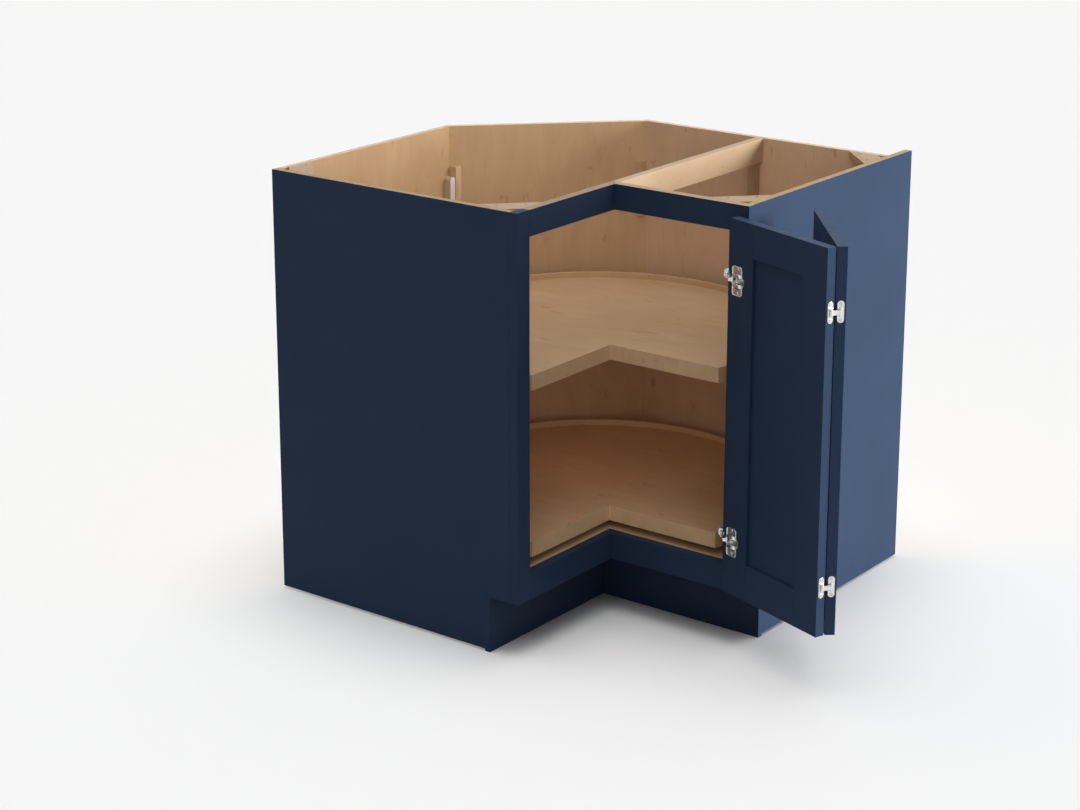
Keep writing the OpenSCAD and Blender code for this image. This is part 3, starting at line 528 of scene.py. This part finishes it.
# %% [markdown]
# ## Level boards and sticks
# The floor, shelf and decks show their veneer above and below and their plies at the
# edge. Cleats, strips and bands are solid wood, with the grain along them.

# %% Level boards and sticks
LEVEL_BOARDS = ("cabinet_floor", "carousel_shelf", "upper_deck", "lower_deck")
STICKS = {
    "top_stretcher": solid_maple,
    "stretcher_cleat": upright,
    "corner_braces": along_x,
    "back_joint_strips": upright,
    "shelf_cleats": along_x,
    "upper_front_bands": along_y,
    "lower_front_bands": along_y,
    "upper_round_band": along_x,
    "lower_round_band": along_x,
    "upper_spacer": along_x,
    "lower_spacer": along_x,
}
for board in LEVEL_BOARDS:
    faces_by(board, [(UP, along_x), (DOWN, along_x)], sawn["z"])
for stick, finish in STICKS.items():
    faces_by(stick, [], finish)
print("dressed", len(LEVEL_BOARDS), "level boards and", len(STICKS), "sticks")

# %% [markdown]
# ## Door, hinges and small parts
# Both leaves are sprayed all round, so every face of them takes the paint. The hinges
# are plated, their screws a little duller, and the clips and bumpers are moulded. These
# pieces have one finish each, so their names pick the finish.

# %% Door, hinges and small parts
LEAVES = ("near_leaf", "far_leaf")
SMALL_PARTS = {
    zinc: ("hinge_mounts", "hinge_arms", "hinge_cups", "near_fold_plates", "far_fold_plates",
           "fold_links", "lower_swivel_base", "upper_swivel_base", "lower_swivel_top",
           "upper_swivel_top"),
    screw_zinc: ("hinge_mount_screws", "hinge_cup_screws", "near_fold_screws",
                 "far_fold_screws", "arm_pins", "fold_pins", "lower_ball_ring",
                 "upper_ball_ring"),
    nylon: ("back_joint_clips",),
    rubber: ("door_bumpers",),
}
leaf_boards = [name for name in nodes if name.startswith(LEAVES)]
for board in leaf_boards:
    faces_by(board, [], navy)
for finish, names in SMALL_PARTS.items():
    for name in names:
        faces_by(name, [], finish)
print("painted", len(leaf_boards), "boards of the door, and finished the small parts")

# %% [markdown]
# ## Easing an edge
# No real board has a razor edge: the paint shop sands every arris, and the rounding
# catches a thin line of light. The welded, bevelled copy is made by modifiers, so the
# solid underneath stays as it is.

# %% Easing an edge
WELD_WITHIN = 0.00002
SHARP_EDGE = math.radians(35)
EASE_STEPS = 2


def ease(name, radius):
    piece = nodes[name]
    mesh = piece.data
    if "custom_normal" in mesh.attributes:
        mesh.attributes.remove(mesh.attributes["custom_normal"])
    for face in mesh.polygons:
        face.use_smooth = True
    weld = piece.modifiers.new("weld", "WELD")
    weld.merge_threshold = WELD_WITHIN
    bevel = piece.modifiers.new("ease", "BEVEL")
    bevel.width = radius
    bevel.segments = EASE_STEPS
    bevel.limit_method = "ANGLE"
    bevel.angle_limit = SHARP_EDGE
    bevel.harden_normals = True


print("eases edges sharper than", round(math.degrees(SHARP_EDGE)), "degrees")

# %% [markdown]
# ## How much each piece is eased
# The solid bands and the leaves are sanded by hand and take about a millimetre. Plywood
# has a thin face and takes half of that, pressed steel less, and the moulded clips are
# the roundest. The radii are in metres.

# %% Eased edges
EASED = {
    0.0008: ("left_stile", "right_stile", "left_top_rail", "right_top_rail",
             "left_bottom_rail", "right_bottom_rail", "left_kick_board", "right_kick_board"),
    0.0005: ("left_end_panel", "right_end_panel", "left_back_panel", "right_back_panel",
             "diagonal_back_panel", *LEVEL_BOARDS),
    0.001: ("top_stretcher", "stretcher_cleat", "upper_front_bands", "lower_front_bands",
            "upper_round_band", "lower_round_band"),
    0.0003: ("hinge_mounts", "hinge_arms", "near_fold_plates", "far_fold_plates",
             "fold_links"),
    0.0028: ("back_joint_clips",),
    0.0009: [name for name in leaf_boards if not name.endswith("panel")],
}
for radius, names in EASED.items():
    for name in names:
        ease(name, radius)
print("eased", sum(len(names) for names in EASED.values()), "pieces")

# %% [markdown]
# ## Places on the near leaf
# The cup hinges sit on the near leaf, which stands open at an angle. Their details are
# drawn in the leaf's own directions: along the leaf from its pivot, out of its back
# face, and up. That way each number can be read off a drawing of the leaf.

# %% Places on the near leaf
LEAF_TURN = math.radians(161.55)
LEAF_PIVOT = Vector((0.897991, -0.636871, 0.0))
ALONG = Vector((-math.cos(LEAF_TURN), -math.sin(LEAF_TURN), 0.0))
OUTWARD = Vector((-math.sin(LEAF_TURN), math.cos(LEAF_TURN), 0.0))
HINGE_LEVELS = (0.2314, 0.7456)
MILLI = 1000


def on_leaf(along, outward, height):
    """A place from millimetres along the leaf and out of it, and metres up."""
    flat = LEAF_PIVOT + ALONG * along / MILLI + OUTWARD * outward / MILLI
    return flat + Vector((0, 0, height))


def new_piece(name, mesh, finish, body):
    piece = bpy.data.objects.new(name, mesh)
    bpy.context.scene.collection.objects.link(piece)
    piece.data.materials.append(finish)
    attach(piece, body)
    return piece


print("leaf runs towards", [round(v, 3) for v in ALONG])

# %% [markdown]
# ## Outline of a cup flange
# Each flange is a plate of pressed sheet steel with four rounded corners. Its outline is
# worked out in millimetres about its own middle, a quarter turn at each corner.

# %% Outline of a flange
FLANGE_MIDDLE = 16.5
FLANGE_HALF = (14.0, 28.5)
FLANGE_CORNER = 4.5
FLANGE_FACE = 2.1
CORNER_STEPS = 6


def rounded_outline(half_width, half_height, corner):
    points = []
    for quarter, (x, y) in enumerate(((1, 1), (-1, 1), (-1, -1), (1, -1))):
        for step in range(CORNER_STEPS + 1):
            angle = math.radians(90 * quarter + 90 * step / CORNER_STEPS)
            points.append((x * (half_width - corner) + corner * math.cos(angle),
                           y * (half_height - corner) + corner * math.sin(angle)))
    return points


print("flange", [2 * half for half in FLANGE_HALF], "mm")

# %% [markdown]
# ## Rolled rims of the cup flanges
# The press rolls the flange's edge over, and that bead shows as a bright outline round a
# dark plate. A curve with a round bevel makes the bead, and its lighter zinc paints a
# highlight on it. It stops above and below the slot, where the arm and its ears pass.

# %% Rolled rims
RIM_STOP = 6.7
BEAD_INSET = 0.6
BEAD_RADIUS, BEAD_STEPS = 0.0006, 3


def flange_rims():
    curve = bpy.data.curves.new("cup_flange_rims", "CURVE")
    curve.dimensions = "3D"
    curve.bevel_depth = BEAD_RADIUS
    curve.bevel_resolution = BEAD_STEPS
    curve.use_fill_caps = True
    outline = rounded_outline(*(half - BEAD_INSET for half in FLANGE_HALF), FLANGE_CORNER)
    arch = [(x, y) for x, y in outline if y > 0]
    arch = [(arch[0][0], RIM_STOP)] + arch + [(arch[-1][0], RIM_STOP)]
    for level in HINGE_LEVELS:
        for side in (1, -1):
            spline = curve.splines.new("POLY")
            spline.points.add(len(arch) - 1)
            for point, (x, y) in zip(spline.points, arch):
                height = level + side * y / MILLI
                point.co = (*on_leaf(FLANGE_MIDDLE + x, FLANGE_FACE, height), 1)
    return curve


# The beads take the lighter zinc, a painted highlight.
rims = new_piece("cup_flange_rims", flange_rims(), zinc_with_painted_highlight, "near_leaf")
print(len(rims.data.splines), "beads on", len(HINGE_LEVELS), "flanges")

# %% [markdown]
# ## Spring housings in the hinge cups
# Two folded cheeks fill each cup, one above and one below the slot that the arm swings
# into. They stand a little out of the cup and take the lighter zinc, a painted highlight,
# so they read as a bright, faceted lump.
# Each cheek is one outline, drawn in plan and raised, and a bevel rounds its folds.

# %% Spring housings
CHEEK_PLAN = ((1.5, -5.0), (1.5, 1.6), (5.0, 3.2), (19.0, 3.2), (26.0, 1.4), (26.0, -5.0))
CHEEK_SLOT = 6.0
CHEEK_REACH = 13.5
FOLD_RADIUS, FOLD_STEPS = 0.0011, 3


def raise_plan(shape, plan, low, high):
    """Raises an outline on the leaf from one height to another, in metres."""
    rows = [[shape.verts.new(on_leaf(a, b, z)) for a, b in plan] for z in (low, high)]
    count = len(plan)
    for i in range(count):
        j = (i + 1) % count
        shape.faces.new((rows[0][i], rows[0][j], rows[1][j], rows[1][i]))
    shape.faces.new(rows[0][::-1])
    shape.faces.new(rows[1])


def spring_housings():
    shape = bmesh.new()
    for level in HINGE_LEVELS:
        for side in (-1, 1):
            ends = sorted(level + side * reach / MILLI for reach in (CHEEK_SLOT, CHEEK_REACH))
            raise_plan(shape, CHEEK_PLAN, *ends)
    bmesh.ops.recalc_face_normals(shape, faces=shape.faces)
    for face in shape.faces:
        face.smooth = True
    mesh = bpy.data.meshes.new("cup_spring_housings")
    shape.to_mesh(mesh)
    shape.free()
    return mesh


cheeks = spring_housings()
# The cheeks take the lighter zinc, a painted highlight.
housing = new_piece("cup_spring_housings", cheeks, zinc_with_painted_highlight, "near_leaf")
fold = housing.modifiers.new("folds", "BEVEL")
fold.width = FOLD_RADIUS
fold.segments = FOLD_STEPS
fold.limit_method = "ANGLE"
fold.harden_normals = True
print("cheeks", len(cheeks.polygons), "faces")

# %% [markdown]
# ## What the camera sees and what the light does
# A pale studio would flood the object with light from everywhere. So floor and sky have
# two tones: the camera, a reflection or a clear piece sees the pale one, and the light
# that bounces has the darker one. The test asks what kind of ray has arrived.

# %% Seen or lit
BACKDROP = grey(0.9)


def seen_plainly(owner):
    """Is one where the camera looks, straight or through gloss or glass, and else zero."""
    rays = add(owner, "ShaderNodeLightPath")
    answer = rays.outputs["Is Camera Ray"]
    for kind in ("Is Glossy Ray", "Is Transmission Ray"):
        either = add(owner, "ShaderNodeMath", operation="MAXIMUM")
        join(owner, answer, either.inputs[0])
        join(owner, rays.outputs[kind], either.inputs[1])
        answer = either.outputs[0]
    return answer


print("backdrop", BACKDROP)

# %% [markdown]
# ## Floor
# The floor is one wide, pale sheet. It is matt, so it takes the cabinet's soft shadow
# and no reflection, and it is wide enough that its edge is never seen.

# %% Floor
FLOOR_BOUNCE = grey(0.25)
FLOOR_ROUGHNESS, FLOOR_SHINE = 0.9, 0.0
FLOOR_HALF = 60.0


def floor_finish():
    finish, shader = new_finish("pale_floor")
    colour = mix(finish, seen_plainly(finish), FLOOR_BOUNCE, BACKDROP)
    join(finish, colour, shader.inputs["Base Color"])
    shader.inputs["Roughness"].default_value = FLOOR_ROUGHNESS
    shader.inputs["Specular IOR Level"].default_value = FLOOR_SHINE
    return finish


corners = [(x * FLOOR_HALF, y * FLOOR_HALF, 0) for x, y in ((-1, -1), (1, -1), (1, 1), (-1, 1))]
floor_mesh = bpy.data.meshes.new("studio_floor")
floor_mesh.from_pydata(corners, [], [(0, 1, 2, 3)])
floor_mesh.materials.append(floor_finish())
floor = bpy.data.objects.new("studio_floor", floor_mesh)
bpy.context.scene.collection.objects.link(floor)
floor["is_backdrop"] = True
print("floor", floor.dimensions[:2])

# %% [markdown]
# ## Sky
# A studio's walls send a little light from everywhere. The sky stands for them: seen
# directly or in a reflection it is near white, and what it lends the object is weak.

# %% Sky
SKY_LIGHT = grey(0.175)

world = bpy.data.worlds.new("studio_sky")
bpy.context.scene.world = world
world.use_nodes = True
tone = mix(world, seen_plainly(world), SKY_LIGHT, BACKDROP)
join(world, tone, world.node_tree.nodes["Background"].inputs["Color"])
print("sky lends", SKY_LIGHT)

# %% [markdown]
# ## Lamps and flags
# A product photographer flags each lamp, so that it lights one side only. Light linking
# does the same here: each lamp names the pieces that it lights, and a lamp for the floor
# may name the pieces that shade it. The lamps are suns, so none has a near or far side,
# and each sun is wide, so its shadow is soft.

# %% Lamp helpers
def group_of(name, pieces):
    group = bpy.data.collections.new(name)
    for piece in pieces:
        group.objects.link(piece)
    return group


def soft_lamp(name, toward, strength, spread, lights, shaded_by=None):
    """A sun that shines toward a direction. Its spread is in degrees."""
    data = bpy.data.lights.new(name, "SUN")
    data.energy = strength
    data.angle = math.radians(spread)
    lamp = bpy.data.objects.new(name, data)
    lamp.rotation_euler = Vector(toward).to_track_quat("-Z", "Y").to_euler()
    bpy.context.scene.collection.objects.link(lamp)
    lamp.light_linking.receiver_collection = group_of(name + "_lights", lights)
    if shaded_by:
        lamp.light_linking.blocker_collection = group_of(name + "_shades", shaded_by)
    return lamp


print("lamps light only what they are given")

# %% [markdown]
# ## Lamps for the floor's shadow
# Three lamps look down on the floor. Under the cabinet the shadow is deep, in the toe
# recess it fades slowly, and the open door throws only a faint one. So one lamp is
# shaded by the carcass alone and a weak one by every piece. The strongest is also the
# widest, and the frame, the toe boards and the level boards shade it.

# %% Lamps for the floor's shadow
STRAIGHT_DOWN, NEARLY_DOWN = (0, 0, -1), (-0.06, 0, -1)
TOE_SHADERS = ("kick_board", "rail", "stile", *LEVEL_BOARDS)

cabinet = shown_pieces()
carcass = [piece for piece in cabinet if body_of(piece)[0] not in LEAVES]
toe_shaders = [piece for piece in carcass if piece.name.endswith(TOE_SHADERS)]
soft_lamp("floor_lamp", NEARLY_DOWN, 0.85, 34, [floor], carcass)
soft_lamp("door_shadow_lamp", NEARLY_DOWN, 0.15, 34, [floor])
soft_lamp("toe_shadow_lamp", STRAIGHT_DOWN, 1.7, 74, [floor], toe_shaders)
print("shadow from", len(carcass), "pieces, toe shadow from", len(toe_shaders))

# %% [markdown]
# ## Lamps on the outside
# One lamp overhead lights every piece. The main lamp comes from the right, so the right
# end panel faces it and the painted side of the left one is turned away. The inside of
# the left wall and the left half of the frame face it too and would be too bright. They
# are flagged from it, and each gets a weaker lamp from the same side.

# %% Lamps on the outside
FROM_THE_RIGHT = (-0.79, -0.56, -0.2)
LEFT_FRONT = ("left_stile", "left_top_rail", "left_bottom_rail", "left_kick_board")

left_front = [nodes[name] for name in LEFT_FRONT]
left_wall = [nodes["left_end_panel"], nodes["left_back_panel"]]
unflagged = [piece for piece in cabinet if piece not in left_front + left_wall]
soft_lamp("top_lamp", STRAIGHT_DOWN, 1.0, 60, cabinet)
soft_lamp("side_lamp", FROM_THE_RIGHT, 4.15, 32, unflagged)
soft_lamp("left_wall_lamp", FROM_THE_RIGHT, 2.5, 32, left_wall)
soft_lamp("left_front_lamp", FROM_THE_RIGHT, 0.6, 60, left_front)
print("main lamp on", len(unflagged), "of", len(cabinet), "pieces")

# %% [markdown]
# ## Lamps on the bare wood
# The inside is lit through the doorway by a warm lamp, which falls on the bare boards
# only. Another lamp lights the backs, for whoever looks at the cabinet from behind.

# %% Lamps on the bare wood
THROUGH_THE_DOORWAY, FROM_BEHIND = (-0.55, 0.68, -0.42), (0.7, -0.7, -0.25)
INSIDE_TINT = (1.0, 0.92, 0.82)
BARE_WOOD = (*LEVEL_BOARDS, "upper_front_bands", "lower_front_bands", "upper_round_band",
             "lower_round_band", "left_back_panel", "right_back_panel",
             "diagonal_back_panel", "back_joint_strips")

bare_wood = [piece for piece in cabinet if piece.name in BARE_WOOD]
backs = [piece for piece in cabinet if piece.name.endswith("back_panel")]
inside_lamp = soft_lamp("inside_lamp", THROUGH_THE_DOORWAY, 1.15, 70, bare_wood)
inside_lamp.data.color = INSIDE_TINT
soft_lamp("back_lamp", FROM_BEHIND, 1.6, 50, backs)
print("inside lamp on", len(bare_wood), "pieces, back lamp on", len(backs))

# %% [markdown]
# ## Warm light in the lower bay
# Light that has bounced off maple many times turns a deep warm brown. A path tracer
# stops after a few bounces, so a dim warm lamp under the shelf stands for the rest.

# %% Warm light in the lower bay
GLOW_PLACE = (0.42, -0.42, 0.49)
GLOW_WIDTH, GLOW_POWER = 0.5, 0.17
GLOW_TINT = (1.0, 0.56, 0.34)

glow_data = bpy.data.lights.new("lower_bay_glow", "AREA")
glow_data.shape = "DISK"
glow_data.size = GLOW_WIDTH
glow_data.energy = GLOW_POWER
glow_data.color = GLOW_TINT
glow = bpy.data.objects.new("lower_bay_glow", glow_data)
glow.location = GLOW_PLACE
glow.visible_camera = False
bpy.context.scene.collection.objects.link(glow)
print("glow under the shelf at", GLOW_PLACE)
